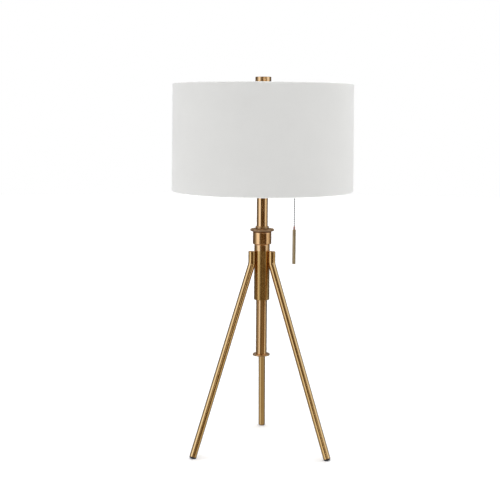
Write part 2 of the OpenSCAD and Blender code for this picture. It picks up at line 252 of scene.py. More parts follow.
# ------------------------------------------------------------------ materials
class Shader:
    """A small helper that builds one procedural material round a Principled node."""

    def __init__(self, name):
        self.mat = bpy.data.materials.new(name)
        self.mat.use_nodes = True
        self.nt = self.mat.node_tree
        self.bsdf = next(n for n in self.nt.nodes if n.type == "BSDF_PRINCIPLED")

    def node(self, kind, **values):
        n = self.nt.nodes.new(kind)
        for key, value in values.items():
            if hasattr(n, key):
                setattr(n, key, value)
            else:
                n.inputs[key].default_value = value
        return n

    def link(self, a, b):
        self.nt.links.new(a, b)

    def place(self, straight=False, scale=(1, 1, 1), turn=(0, 0, 0)):
        if straight:
            src = self.node("ShaderNodeAttribute", attribute_name="straight").outputs["Vector"]
        else:
            src = self.node("ShaderNodeTexCoord").outputs["Object"]
        m = self.node("ShaderNodeMapping")
        m.inputs["Scale"].default_value = scale
        m.inputs["Rotation"].default_value = turn
        self.link(src, m.inputs["Vector"])
        return m.outputs["Vector"]

    def noise(self, vector, scale, detail=3.0, rough=0.55):
        n = self.node("ShaderNodeTexNoise")
        n.inputs["Scale"].default_value = scale
        n.inputs["Detail"].default_value = detail
        n.inputs["Roughness"].default_value = rough
        self.link(vector, n.inputs["Vector"])
        return n.outputs["Fac"]

    def ramp(self, value, stops, interpolation="LINEAR"):
        n = self.node("ShaderNodeValToRGB")
        n.color_ramp.interpolation = interpolation
        e = n.color_ramp.elements
        while len(e) < len(stops):
            e.new(0.5)
        for item, (pos, col) in zip(e, stops):
            item.position = pos
            item.color = (*col, 1) if len(col) == 3 else col
        self.link(value, n.inputs["Fac"])
        return n.outputs["Color"]

    def remap(self, value, low, high, to_low, to_high):
        n = self.node("ShaderNodeMapRange")
        for key, v in (("From Min", low), ("From Max", high), ("To Min", to_low), ("To Max", to_high)):
            n.inputs[key].default_value = v
        self.link(value, n.inputs["Value"])
        return n.outputs["Result"]

    def math(self, op, a, b=None):
        n = self.node("ShaderNodeMath")
        n.operation = op
        for i, x in enumerate((a, b)):
            if x is None:
                continue
            if isinstance(x, (int, float)):
                n.inputs[i].default_value = x
            else:
                self.link(x, n.inputs[i])
        return n.outputs["Value"]

    def mix(self, fac, a, b, blend="MIX"):
        n = self.node("ShaderNodeMix")
        n.data_type = "RGBA"
        n.blend_type = blend
        ins = [s for s in n.inputs if s.enabled]
        for sock, x in zip(ins, (fac, a, b)):
            if isinstance(x, (int, float)):
                sock.default_value = x
            elif isinstance(x, tuple):
                sock.default_value = (*x, 1) if len(x) == 3 else x
            else:
                self.link(x, sock)
        return next(o for o in n.outputs if o.enabled)

    def bump(self, height, strength, distance, chained=None):
        n = self.node("ShaderNodeBump")
        n.inputs["Strength"].default_value = strength
        n.inputs["Distance"].default_value = distance
        self.link(height, n.inputs["Height"])
        if chained is not None:
            self.link(chained, n.inputs["Normal"])
        return n.outputs["Normal"]

    def set(self, **values):
        for key, value in values.items():
            sock = self.bsdf.inputs[key.replace("_", " ")]
            if isinstance(value, (int, float, tuple)):
                sock.default_value = value
            else:
                self.link(value, sock)
        return self.mat


def brass(name, light, dark, rough, lines, straight=False, strength=0.25, spots=0.5, polished_unshaded_above=None):
    """Lacquered brass: soft patina, brushed lines and a few rubbed patches."""
    s = Shader(name)
    here = s.place(straight)
    patina = s.noise(here, 28, 4)
    colour = s.ramp(patina, [(0.32, dark), (0.68, light)])
    fleck = s.noise(here, 420, 2)
    colour = s.mix(s.remap(fleck, 0.55, 0.8, 0.0, 0.16 * spots), colour, tuple(c * 0.72 for c in dark))
    fine = s.noise(s.place(straight, lines), 1.0, 2, 0.5)
    broad = s.noise(here, 60, 3)
    r = s.math("ADD", s.remap(fine, 0.3, 0.7, rough - 0.035, rough + 0.045), s.remap(broad, 0.35, 0.65, -0.02, 0.03))
    # Above this height the hub is polished (lower roughness) and takes the plain BRASS colour in place of its darker
    # painted-shade copy.
    if polished_unshaded_above is not None:
        xyz = s.node("ShaderNodeSeparateXYZ")
        s.link(here, xyz.inputs[0])
        up = s.remap(xyz.outputs["Z"], polished_unshaded_above, polished_unshaded_above + 0.0004, 0.0, 1.0)
        r = s.math("MULTIPLY", r, s.remap(up, 0.0, 1.0, 1.0, 0.55))
        colour = s.mix(up, colour, s.ramp(patina, [(0.32, BRASS[1]), (0.68, BRASS[0])]))
    scratch = s.noise(s.place(straight, tuple(c * 0.35 for c in lines)), 1.0, 0)
    normal = s.bump(fine, strength, 0.00002)
    normal = s.bump(scratch, strength * 0.6, 0.00002, normal)
    return s.set(Base_Color=colour, Metallic=1.0, Roughness=r, Normal=normal)


ROUND_LINES = (30, 30, 5200)
LONG_LINES = (4200, 4200, 26)

# One brass finish in lit and shaded copies. TURNED and LEG are slightly darker, redder copies of BRASS, and HUB,
# FLANGE, STOP and LIP are much darker copies: painted shade standing in for the darker reflections on the hub, grip
# flange, stop ring and collet. FITTING is the paler brass of the fittings inside the shade.
BRASS = ((0.83, 0.485, 0.190), (0.78, 0.440, 0.165))
TURNED = ((0.84, 0.470, 0.175), (0.79, 0.425, 0.150))
LEG = ((0.79, 0.460, 0.150), (0.74, 0.418, 0.130))
HUB = ((0.61, 0.343, 0.095), (0.56, 0.305, 0.080))
FLANGE = ((0.50, 0.305, 0.148), (0.445, 0.267, 0.126))
STOP = ((0.70, 0.395, 0.150), (0.64, 0.355, 0.130))
LIP = ((0.54, 0.320, 0.125), (0.49, 0.285, 0.108))
FITTING = ((0.83, 0.55, 0.26), (0.74, 0.46, 0.20))

# The hub, grip flange, stop ring and collet take the much darker painted-shade copies of the brass colour; the legs
# and turned parts take the slightly darker ones.
m_leg = brass("brass_leg", *LEG, 0.15, LONG_LINES, straight=True, strength=0.07, spots=0.15)
m_riser = brass("brass_riser", *BRASS, 0.135, LONG_LINES, strength=0.07, spots=0.15)
m_turned = brass("brass_turned", *TURNED, 0.14, ROUND_LINES, strength=0.12, spots=0.15)
m_finial = brass("brass_finial", *BRASS, 0.14, ROUND_LINES, strength=0.12, spots=0.15)
m_hub = brass("brass_hub", *HUB, 0.24, LONG_LINES, strength=0.1, spots=0.15, polished_unshaded_above=0.4372)
m_flange = brass("brass_flange", *FLANGE, 0.58, ROUND_LINES, strength=0.3)
m_stop = brass("brass_turned_dull_shaded", *STOP, 0.30, ROUND_LINES, strength=0.3)
m_lip = brass("brass_collet", *LIP, 0.30, ROUND_LINES, strength=0.3)
m_fitting = brass("brass_fitting", *FITTING, 0.24, ROUND_LINES, strength=0.2)
m_fitting_long = brass("brass_fitting_long", *FITTING, 0.22, LONG_LINES, straight=True, strength=0.2)
m_bronze = brass("bronze", (0.60, 0.43, 0.20), (0.52, 0.365, 0.165), 0.40, LONG_LINES, strength=0.4)
m_copper = brass("copper_coupling", (0.72, 0.42, 0.30), (0.60, 0.34, 0.24), 0.28, ROUND_LINES, strength=0.2)


def make_metal(name, light, dark, rough, lines, straight=False):
    s = Shader(name)
    here = s.place(straight)
    colour = s.ramp(s.noise(here, 90, 3), [(0.35, dark), (0.65, light)])
    fine = s.noise(s.place(straight, lines), 1.0, 2)
    return s.set(
        Base_Color=colour,
        Metallic=1.0,
        Roughness=s.remap(fine, 0.3, 0.7, rough - 0.04, rough + 0.05),
        Normal=s.bump(fine, 0.15, 0.00002),
    )


m_nickel = make_metal("nickel", (0.72, 0.71, 0.68), (0.62, 0.61, 0.58), 0.24, ROUND_LINES)
# The chain's beads get a darker copy of the nickel on the pull rod and top bead: painted shade, set to how dark the
# thin chain looks.
m_chain = make_metal("chain_nickel", (0.43, 0.42, 0.40), (0.36, 0.35, 0.335), 0.30, ROUND_LINES)
m_steel = make_metal("steel", (0.56, 0.57, 0.58), (0.45, 0.46, 0.47), 0.32, ROUND_LINES)


def make_plain(name, light, dark, rough, grain, bump, distance, specular=0.5, sheen=0.0):
    """Rubber, plastic, paint or board: mottled colour, fine grain and uneven gloss."""
    s = Shader(name)
    here = s.place()
    colour = s.ramp(s.noise(here, 45, 4), [(0.3, dark), (0.7, light)])
    fine = s.noise(here, grain, 3, 0.6)
    s.bsdf.inputs["Specular IOR Level"].default_value = specular
    if sheen:
        s.bsdf.inputs["Sheen Weight"].default_value = sheen
    return s.set(
        Base_Color=colour,
        Roughness=s.remap(s.noise(here, grain * 0.4, 2), 0.3, 0.7, rough - 0.06, rough + 0.08),
        Normal=s.bump(fine, bump, distance),
    )


m_rubber = make_plain("rubber_black", (0.030, 0.029, 0.028), (0.016, 0.016, 0.017), 0.62, 900, 0.5, 0.00006, 0.4)
m_plastic = make_plain("plastic_black", (0.035, 0.034, 0.033), (0.022, 0.022, 0.022), 0.42, 1400, 0.2, 0.00003)
m_fibre = make_plain("fibre", (0.30, 0.22, 0.13), (0.21, 0.15, 0.085), 0.7, 700, 0.5, 0.00008, 0.3)
m_wire = make_plain("white_wire", (0.80, 0.80, 0.78), (0.74, 0.74, 0.72), 0.35, 500, 0.25, 0.00004)
m_liner = make_plain("shade_styrene", (0.84, 0.84, 0.82), (0.80, 0.80, 0.78), 0.46, 260, 0.12, 0.00006, 0.4)


def make_cloth():
    """Plain linen weave: warp and weft threads with slubs, laid on the drum by angle and height."""
    s = Shader("shade_cloth")
    src = s.node("ShaderNodeTexCoord").outputs["Object"]
    xyz = s.node("ShaderNodeSeparateXYZ")
    s.link(src, xyz.inputs[0])
    x, y, z = xyz.outputs
    around = s.math("MULTIPLY", s.math("ARCTAN2", y, x), 0.1915)
    pitch = 0.00062
    uv = s.node("ShaderNodeCombineXYZ")
    s.link(around, uv.inputs[0])
    s.link(z, uv.inputs[1])

    def stretched(sx, sy, detail):
        m = s.node("ShaderNodeMapping")
        m.inputs["Scale"].default_value = (sx, sy, 1)
        s.link(uv.outputs[0], m.inputs["Vector"])
        return s.noise(m.outputs["Vector"], 1.0, detail, 0.5)

    # each thread is a rounded ridge; the two sets pass over and under in turn
    wobble = s.math("MULTIPLY", s.math("SUBTRACT", s.noise(uv.outputs[0], 160, 2), 0.5), 0.00035)
    ux = s.math("MULTIPLY", s.math("ADD", around, wobble), PI / pitch)
    uy = s.math("MULTIPLY", s.math("ADD", z, wobble), PI / pitch)
    warp = s.math("ABSOLUTE", s.math("SINE", ux))
    weft = s.math("ABSOLUTE", s.math("SINE", uy))
    check = s.math("SINE", s.math("ADD", ux, PI / 2))
    check = s.math("MULTIPLY", check, s.math("SINE", s.math("ADD", uy, PI / 2)))
    over = s.remap(check, -0.4, 0.4, 0.0, 1.0)
    height = s.math("ADD", s.math("MULTIPLY", warp, over), s.math("MULTIPLY", weft, s.math("SUBTRACT", 1.0, over)))
    slub_x = stretched(22, 1500, 3)
    slub_y = stretched(1500, 22, 3)
    slubs = s.math("MAXIMUM", slub_x, slub_y)
    height = s.math("ADD", height, s.math("MULTIPLY", slubs, 1.4))
    base = s.ramp(s.noise(uv.outputs[0], 9, 4), [(0.3, CLOTH_DARK), (0.7, CLOTH_LIGHT)])
    base = s.mix(s.remap(slubs, 0.52, 0.78, 0.0, 0.30), base, tuple(c * 0.93 for c in CLOTH_DARK))
    # the hollows between the raised threads are painted darker: painted shade in the weave
    base = s.mix(s.remap(height, 0.2, 1.6, 0.30, 0.0), base, tuple(c * 0.90 for c in CLOTH_DARK))
    s.bsdf.inputs["Specular IOR Level"].default_value = 0.25
    s.bsdf.inputs["Sheen Weight"].default_value = 0.06
    s.bsdf.inputs["Sheen Roughness"].default_value = 0.5
    return s.set(
        Base_Color=base,
        Roughness=s.remap(slubs, 0.3, 0.7, 0.86, 0.96),
        Normal=s.bump(height, 0.28, 0.00009),
    )


CLOTH_LIGHT = (0.845, 0.843, 0.825)
CLOTH_DARK = (0.820, 0.818, 0.800)
m_cloth = make_cloth()


def make_glass():
    """The bulb's inside-frosted glass: milky, softly glossy."""
    s = Shader("frosted_glass")
    here = s.place()
    colour = s.ramp(s.noise(here, 40, 3), [(0.3, (0.86, 0.86, 0.84)), (0.7, (0.90, 0.90, 0.885))])
    s.bsdf.inputs["Coat Weight"].default_value = 0.8
    s.bsdf.inputs["Coat Roughness"].default_value = 0.05
    s.bsdf.inputs["Subsurface Weight"].default_value = 0.3
    s.bsdf.inputs["Subsurface Radius"].default_value = (0.01, 0.01, 0.01)
    s.bsdf.inputs["Subsurface Scale"].default_value = 0.3
    return s.set(
        Base_Color=colour,
        Roughness=s.remap(s.noise(here, 200, 2), 0.3, 0.7, 0.30, 0.40),
        Normal=s.bump(s.noise(here, 900, 2), 0.08, 0.00002),
    )


m_glass = make_glass()

# ------------------------------------------------------------------ pull chain, first of the pieces
PIVOT = Vector((68.7, 0, 587))
BEAD_R = 1.6
BEADS = 24
PITCH = 3.96


def bead_profile(zc, r):
    """A pressed ball with its two small necks, where the wire goes in."""
    pts = [(0.0, zc + r * 0.90)]
    for k in range(11):
        t = math.radians(66 - 132 * k / 10)
        pts.append((r * math.cos(t), zc + r * math.sin(t)))
    pts.append((0.0, zc - r * 0.90))
    return pts


def make_chain():
    parts = []
    base = Matrix.Translation((PIVOT.x * MM, 0, 0))
    for k in range(1, BEADS + 1):
        zc = PIVOT.z - PITCH * k
        parts.append(lathe(bead_profile(zc, BEAD_R), 20, closed=False, axis=base))
        if k < BEADS:
            top, low = zc - BEAD_R * 0.86, zc - PITCH + BEAD_R * 0.86
            parts.append(lathe([(0, top), (0.42, top), (0.42, low), (0, low)], 10, closed=False, axis=base))
    # the short wire up to the first bead
    parts.append(lathe([(0, 585.35), (0.42, 585.35), (0.42, PIVOT.z - PITCH + BEAD_R * 0.86), (0, PIVOT.z - PITCH + BEAD_R * 0.86)], 10, closed=False, axis=base))
    ob = finish_mesh("pull_chain_beads", *join(*parts), m_chain, "chain", "nickel", ("pull_chain",))
    return ob


chain = make_chain()


def make_coupling():
    base = Matrix.Translation((PIVOT.x * MM, 0, 0))
    prof = rounded([
        (0, 482.0), (2.3, 482.0, 0.3), (2.3, 485.2, 0.2), (2.1, 485.5, 0.1), (2.1, 486.0, 0.1), (2.3, 486.3, 0.2), (1.9, 489.0, 0.4), (1.3, 490.0, 0.3), (0, 490.0),
    ], 4)
    return finish_mesh("chain_coupling_bell", *lathe(prof, 40, closed=False, axis=base), m_copper, "chain", "brass_fittings", ("chain_coupling",))


def make_pendant():
    """The rod is a solid of the frame; here it gets softened edges and its finish."""
    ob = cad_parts["pull_pendant"]
    ob.data.materials.clear()
    ob.data.materials.append(m_bronze)
    soften = ob.modifiers.new("soft_edges", "BEVEL")
    soften.width = 0.00022
    soften.segments = 3
    soften.limit_method = "ANGLE"
    soften.angle_limit = math.radians(25)
    soften.harden_normals = True
    return ob


coupling = make_coupling()
pendant = make_pendant()

# ------------------------------------------------------------------ tripod
LEG_R, LEG_WALL = 7.7, 1.2
STUB_R = 16.8 + LEG_R + 0.15
FOOT_R, FOOT_Z = 164.3, 3.7
BEND_Z, BEND_R = 410.0, 30.0
LEG_TOP = 436.5
TILT = math.atan((FOOT_R - STUB_R) / (BEND_Z - FOOT_Z))
BEND_START = BEND_Z + BEND_R * math.tan(TILT / 2)
LEG_AZ = {"left": 209.1, "right": 329.1, "rear": 89.1}


def leg_path():
    pts = [Vector((STUB_R, 0, LEG_TOP)), Vector((STUB_R, 0, BEND_START + 9))]
    pts += arc((STUB_R + BEND_R, BEND_START), BEND_R, 180, 180 + math.degrees(TILT), 14)
    start = pts[-1]
    end = Vector((FOOT_R, 0, FOOT_Z))
    pts += [start.lerp(end, t) for t in (0.06, 0.2, 0.35, 0.5, 0.65, 0.8, 0.94, 1.0)]
    return pts


def leg_mesh():
    path = leg_path()
    n = len(path)
    ro, ri, f = LEG_R, LEG_R - LEG_WALL, 0.45
    rows = []

    def lip(i, sign):
        """The rolled lip at one end, from the bore round to the outside."""
        out = []
        for k in range(5):
            t = PI / 2 * k / 4
            out.append((i, ri + f - f * math.cos(t), sign * (f - f * math.sin(t))))
        for k in range(5):
            t = PI / 2 * k / 4
            out.append((i, ro - f + f * math.sin(t), sign * (f - f * math.cos(t))))
        return out

    for i, r, sh in lip(0, 1):
        rows.append((i, r, r, sh))
    rows.append((0, ro, ro, 0.9))
    for i in range(1, n - 1):
        rows.append((i, ro, ro, 0))
    rows.append((n - 1, ro, ro, -0.9))
    for i, r, sh in reversed(lip(n - 1, -1)):
        rows.append((i, r, r, sh))
    for i in range(n - 2, 0, -1):
        rows.append((i, ri, ri, 0))
    return sweep(path, rows, n=56, first=(0, 1, 0), closed=True)


LEG_MESH = leg_mesh()
for key, az in LEG_AZ.items():
    rot = Matrix.Rotation(math.radians(az), 4, "Z")
    verts = [rot @ v for v in LEG_MESH[0]]
    finish_mesh("leg_tube_" + key, verts, LEG_MESH[1], m_leg, "base", "brass_satin", ("leg_" + key,), straight=LEG_MESH[2])

# the plugs in the tops of the legs, very slightly domed
top_plug = rounded([(0, LEG_TOP - 17.9), (6.43, LEG_TOP - 17.9, 0.4), (6.43, LEG_TOP - 0.55, 0.35), (0, LEG_TOP - 0.38)], 5)
parts = []
for az in LEG_AZ.values():
    m = Matrix.Rotation(math.radians(az), 4, "Z") @ Matrix.Translation((STUB_R * MM, 0, 0))
    parts.append(lathe(top_plug, 48, closed=False, axis=m))
finish_mesh("leg_top_discs", *join(*parts), m_turned, "base", "brass_satin", ("leg_top_plugs",))


def foot_plug_mesh():
    """Rubber plug in a leg's lower end, worn flat where it meets the table."""
    prof = rounded([(0, -14), (6.43, -14, 0.6), (6.43, -0.05), (7.05, 0.0, 0.1), (7.2, 0.5, 0.3), (7.2, 2.3, 0.9), (6.3, 3.2, 0.6), (0, 3.35)], 5)
    tilt = Matrix.Translation(Vector((FOOT_R, 0, FOOT_Z)) * MM) @ Matrix.Rotation(PI - TILT, 4, "Y")
    verts, faces = lathe(prof, 56, closed=False, axis=tilt)
    bm = bmesh.new()
    vs = [bm.verts.new(v) for v in verts]
    for q in faces:
        bm.faces.new([vs[i] for i in q])
    bmesh.ops.recalc_face_normals(bm, faces=bm.faces[:])
    cut = bmesh.ops.bisect_plane(
        bm, geom=bm.verts[:] + bm.edges[:] + bm.faces[:], plane_co=(0, 0, 0), plane_no=(0, 0, -1), clear_outer=True
    )
    edges = [g for g in cut["geom_cut"] if isinstance(g, bmesh.types.BMEdge)]
    bmesh.ops.holes_fill(bm, edges=edges)
    bm.verts.ensure_lookup_table()
    bm.verts.index_update()
    out = [v.co.copy() for v in bm.verts], [tuple(v.index for v in f.verts) for f in bm.faces]
    bm.free()
    return out


FOOT = foot_plug_mesh()
parts = [moved(FOOT, Matrix.Rotation(math.radians(az), 4, "Z")) for az in LEG_AZ.values()]
finish_mesh("foot_rubber", *join(*parts), m_rubber, "base", "rubber_black", ("foot_plugs",))

# ------------------------------------------------------------------ hub, collar, collet
finish_mesh("hub_sleeve", *lathe(rounded([
    (14.0, 330.5, 0.4), (16.8, 330.5, 0.7), (16.8, 449.2), (16.5, 450.0, 0.2), (15.4, 450.0), (15.4, 474.0, 0.4), (14.0, 474.0, 0.4),
], 5), 128), m_hub, "base", "brass_hub", ("hub_tube",))

finish_mesh("collar_nut", *lathe(rounded([
    (15.55, 451.0), (18.9, 451.0, 0.35), (20.2, 452.3, 0.45), (20.2, 478.2, 2.2), (13.4, 478.2), (13.4, 475.0), (15.55, 475.0),
], 8), 128), m_turned, "lock_collar", "brass_satin", ("lock_collar",))

finish_mesh("grip_disc", *lathe(rounded([
    (13.4, 478.2), (17.0, 478.2), (17.0, 479.2, 0.1), (25.6, 479.2, 2.1), (25.6, 484.2, 2.3), (14.2, 484.2, 0.2), (13.4, 483.6, 0.2),
], 8), 128), m_flange, "lock_collar", "brass_satin", ("grip_flange",))


def collet_mesh():
    """Six fingers between narrow slits, on one whole ring lower down."""
    inner, half = 12.07, 0.6
    outline = rounded([
        (inner, 456.0), (13.94, 456.0), (13.94, 474.5, 0.1), (13.1, 474.7, 0.1), (13.1, 484.6, 0.1), (14.5, 484.6, 0.5), (14.5, 489.5, 0.9), (inner + 0.1, 489.5, 0.6),
    ], 5)
    outline = braced(outline)
    cr = sum(p[0] for p in outline) / len(outline)
    parts = []
    for k in range(6):
        a0, a1 = math.radians(30 + 60 * k), math.radians(90 + 60 * k)
        verts, cols = [], []
        steps = 16
        for c in range(steps + 3):
            edge = c == 0 or c == steps + 2
            col = []
            for r, z in outline:
                if edge:
                    d = 0.22
                    z2 = z + (d if z < 457 else (-d if z > 489 else 0))
                    r2 = r + (d if r < inner + 0.7 else (-d if r > 13.0 else 0))
                else:
                    r2, z2 = r, z
                off = half / r2 if edge else (half + 0.22) / r2
                lo, hi = a0 + off, a1 - off
                if c == 0:
                    a = lo
                elif c == steps + 2:
                    a = hi
                else:
                    a = lo + (hi - lo) * (c - 1) / steps
                col.append(len(verts))
                verts.append(Vector((r2 * math.cos(a), r2 * math.sin(a), z2)) * MM)
            cols.append(col)
        faces = []
        m = len(outline)
        for p, q in zip(cols, cols[1:]):
            for i in range(m):
                j = (i + 1) % m
                faces.append((p[i], p[j], q[j], q[i]))
        faces.append(tuple(cols[0]))
        faces.append(tuple(reversed(cols[-1])))
        parts.append((verts, faces))
    parts.append(lathe(rounded([(inner, 440.0, 0.3), (13.94, 440.0, 0.5), (13.94, 456.05), (inner, 456.05)], 3), 96))
    return join(*parts)


finish_mesh("collet_fingers", *collet_mesh(), m_lip, "collet", "brass_satin", ("split_collet",))

# ------------------------------------------------------------------ riser
finish_mesh("riser_pipe", *lathe(rounded([
    (10.8, 207.4, 0.3), (12.0, 207.4, 0.4), (12.0, 250), (12.0, 330), (12.0, 400), (12.0, 470), (12.0, 530), (12.0, 566.0, 0.3), (10.8, 566.0, 0.2), (10.8, 400),
], 4), 128), m_riser, "riser", "brass_satin", ("riser_tube",))

finish_mesh("stop_ring", *lathe(rounded([
    (12.03, 207.5), (18.95, 207.4, 1.5), (18.95, 210.8, 1.5), (12.03, 210.8),
], 8), 128), m_stop, "riser", "brass_satin", ("stop_flange",))

finish_mesh("cord_bush", *lathe(rounded([
    (4.0, 206.2, 0.7), (11.7, 206.2, 0.6), (11.7, 207.38), (10.7, 207.4), (10.7, 217.4, 0.5), (4.0, 217.4, 0.5),
], 5), 72), m_plastic, "riser", "plastic_black", ("cord_bushing",))

finish_mesh("neck_cap_turned", *lathe(rounded([
    (5.06, 554.0), (10.75, 554.0, 0.4), (10.75, 566.02), (14.2, 566.05, 0.3), (15.0, 566.6, 0.4), (15.0, 568.6, 0.5), (13.5, 570.0, 0.4), (5.06, 570.0),
], 5), 96), m_fitting, "riser", "brass_fittings", ("neck_cap",))

# harp saddle: a stamped strip whose ends turn up into tabs
def saddle_mesh():
    t = 1.6
    bend = 2.4
    y_end = 29.0
    pts = [Vector((0, y, 570.8)) for y in (0, 8, 16, 22, 25)]
    pts += arc((y_end - bend, 570.8 + bend), bend, -90, 0, 6, "yz")
    pts += [Vector((0, y_end, z)) for z in (574.5, 575.95, 576.05, 580, 586.2, 586.7)]

    def width(i, p):
        if p.z > 576.0:
            return 1.4 if p.z < 586.4 else 1.05
        if p.y < 12:
            return 6.5
        if p.y < 24.9:
            return 6.5 - (p.y - 12) / 12.9 * 3.9
        return 2.6

    def half(sign):
        verts, rings = [], []
        for i, p in enumerate(pts):
            a, b = pts[max(0, i - 1)], pts[min(len(pts) - 1, i + 1)]
            tan = (b - a).normalized()
            nor = Vector((0, -tan.z, tan.y))
            w, e = width(i, p), 0.25
            ring = []
            for x, h in ((-w + e, -t / 2), (w - e, -t / 2), (w, -t / 2 + e), (w, t / 2 - e), (w - e, t / 2), (-w + e, t / 2), (-w, t / 2 - e), (-w, -t / 2 + e)):
                q = Vector((x, p.y, p.z)) + nor * h
                ring.append(len(verts))
                verts.append(Vector((q.x, q.y * sign, q.z)) * MM)
            rings.append(ring)
        faces = []
        for p, q in zip(rings, rings[1:]):
            for i in range(8):
                j = (i + 1) % 8
                faces.append((p[i], p[j], q[j], q[i]))
        faces.append(tuple(rings[-1]))
        return verts, faces

    parts = join(half(1), half(-1))
    bm = bmesh.new()
    vs = [bm.verts.new(v) for v in parts[0]]
    for q in parts[1]:
        bm.faces.new([vs[i] for i in q])
    bmesh.ops.remove_doubles(bm, verts=bm.verts[:], dist=1e-6)
    bm.verts.index_update()
    out = [v.co.copy() for v in bm.verts], [tuple(v.index for v in f.verts) for f in bm.faces]
    bm.free()
    return out


finish_mesh("saddle_strip", *saddle_mesh(), m_fitting, "riser", "brass_fittings", ("harp_saddle",), angle=40)

# ------------------------------------------------------------------ lampholder
finish_mesh("socket_cup", *lathe(rounded([
    (5.06, 571.6), (9.0, 571.6, 0.5), (9.6, 574.6, 1.2), (13.5, 578.1, 2.0), (17.0, 583.6, 2.0), (18.2, 587.6, 1.5), (18.2, 592.6, 0.25),
    (17.6, 592.6, 0.25), (17.6, 587.8), (16.3, 584.1), (12.8, 578.8), (8.6, 575.2), (8.4, 572.6), (5.06, 572.6),
], 5), 96), m_fitting, "riser", "brass_fittings", ("socket_cap",))


def shell_mesh():
    prof = [(16.9, 588.0), (17.5, 588.0), (17.5, 594.5)]
    for zc, h, w in ((597.0, 0.45, 1.6), (610.75, 0.6, 1.5), (631.5, 0.35, 1.3)):
        for k in range(9):
            t = -1 + 2 * k / 8
            prof.append((17.5 + h * math.cos(t * PI / 2) ** 2, zc + t * w))
    prof += [(17.5, 634.8), (17.72, 635.2), (17.75, 635.7), (17.4, 636.0), (17.0, 635.8), (16.9, 635.2)]
    return lathe(prof, 128)


finish_mesh("socket_shell_rolled", *shell_mesh(), m_fitting, "riser", "brass_fittings", ("socket_shell",))
finish_mesh("insulating_tube", *lathe(rounded([
    (16.25, 588.5), (16.85, 588.5), (16.85, 635.0, 0.15), (16.25, 635.0, 0.15),
], 3), 96), m_fibre, "riser", "fibre", ("insulating_sleeve",))


def arm_mesh():
    path = [Vector((11.5, 0, 601)), Vector((17, 0, 601)), Vector((19.3, 0, 601)), Vector((40, 0, 601)), Vector((60.7, 0, 601))]
    path += arc((60.7, 593.0), 8.0, 90, 0, 12)[1:]
    path += [Vector((68.7, 0, 591.2))]
    n = len(path)
    ro, ri = 4.0, 2.9
    rows = [(0, ri, ri, 0), (0, ro, ro, 0)]
    rows += [(i, ro, ro, 0) for i in range(1, n)]
    rows += [(n - 1, ri, ri, 0)]
    rows += [(i, ri, ri, 0) for i in range(n - 2, 0, -1)]
    return sweep(path, rows, n=40, first=(0, 1, 0), closed=True)


v, f, st = arm_mesh()
finish_mesh("switch_arm_tube", v, f, m_fitting_long, "riser", "brass_fittings", ("switch_arm",), straight=st)
# a thin flanged collar where the arm leaves the shell
arm_base = Matrix.Translation(Vector((17.4, 0, 601)) * MM) @ Matrix.Rotation(PI / 2, 4, "Y")
finish_mesh("switch_arm_washer", *lathe(rounded([
    (4.02, 0.05), (6.4, 0.6, 0.2), (6.2, 1.6, 0.5), (4.6, 2.2, 0.3), (4.02, 2.2),
], 4), 48, axis=arm_base), m_fitting, "riser", "brass_fittings")
pivot_m = Matrix.Translation((PIVOT.x * MM, 0, 0))
finish_mesh("bell_flare", *lathe(rounded([
    (2.62, 591.3), (2.62, 588.6, 0.3), (3.1, 587.5, 0.5), (4.4, 586.4, 0.5), (5.6, 586.0, 0.35), (5.9, 586.7, 0.35), (5.2, 587.8, 0.5), (5.0, 591.3, 0.4), (4.03, 591.9, 0.2), (4.03, 591.3),
], 5), 64, axis=pivot_m), m_fitting, "riser", "brass_fittings", ("bell_mouth",))
finish_mesh("pull_rod", *lathe(rounded([
    (0, 588.95), (1.2, 588.95, 0.3), (1.2, 590.2, 0.1), (0.9, 590.5, 0.1), (0.9, 596.8, 0.1), (1.2, 597.1, 0.1), (1.2, 597.9, 0.3), (0, 597.9),
], 3), 24, closed=False, axis=pivot_m), m_nickel, "switch_link", "nickel", ("pull_link",))
finish_mesh("chain_top_bead", *lathe(
    [(0, 588.55), (0.42, 588.5), (0.42, 588.3)] + [(1.6 * math.cos(math.radians(70 - 140 * k / 14)), 587 + 1.6 * math.sin(math.radians(70 - 140 * k / 14))) for k in range(15)] + [(0, 585.5)],
    28, closed=False, axis=pivot_m), m_nickel, "top_bead", "nickel", ("chain_bead",))

# ------------------------------------------------------------------ harp
HARP_R = 1.8


def harp_half():
    a = 30.0
    p1 = (29 + 28 * (1 - math.cos(math.radians(a))), 587 + 20 + 28 * math.sin(math.radians(a)))
    p2 = (p1[0] + 20 * math.sin(math.radians(a)), p1[1] + 20 * math.cos(math.radians(a)))
    p3 = (p2[0] + 60 * (1 - math.cos(math.radians(a))), p2[1] + 60 * math.sin(math.radians(a)))
    pts = [Vector((0, 29, z)) for z in (587, 588, 594, 601, 607)]
    pts += arc((29 + 28, 607), 28, 180, 180 - a, 10, "yz")[1:]
    pts += [Vector((0, (p1[0] + p2[0]) / 2, (p1[1] + p2[1]) / 2))]
    pts += arc((p3[0] - 60, p3[1]), 60, -a, 0, 12, "yz")
    pts += [Vector((0, p3[0], z)) for z in (684, 700, 717, 734)]
    pts += arc((p3[0] - 38, 734), 38, 0, 90, 18, "yz")[1:]
    return pts


def harp_mesh():
    up = harp_half()
    path = up + [Vector((0, -p.y, p.z)) for p in reversed(up)]
    n = len(path)
    rows = [(0, 0, 0, 0), (0, 1.3, 1.3, 0), (0, 1.65, 1.65, 0.15), (0, HARP_R, HARP_R, 0.5)]
    rows += [(i, HARP_R, HARP_R, 0) for i in range(1, n - 1)]
    rows += [(n - 1, HARP_R, HARP_R, -0.5), (n - 1, 1.65, 1.65, -0.15), (n - 1, 1.3, 1.3, 0), (n - 1, 0, 0, 0)]
    return sweep(path, rows, n=24, first=(1, 0, 0))


v, f, st = harp_mesh()
finish_mesh("harp_wire", v, f, m_fitting_long, "riser", "brass_fittings", ("harp",), straight=st)


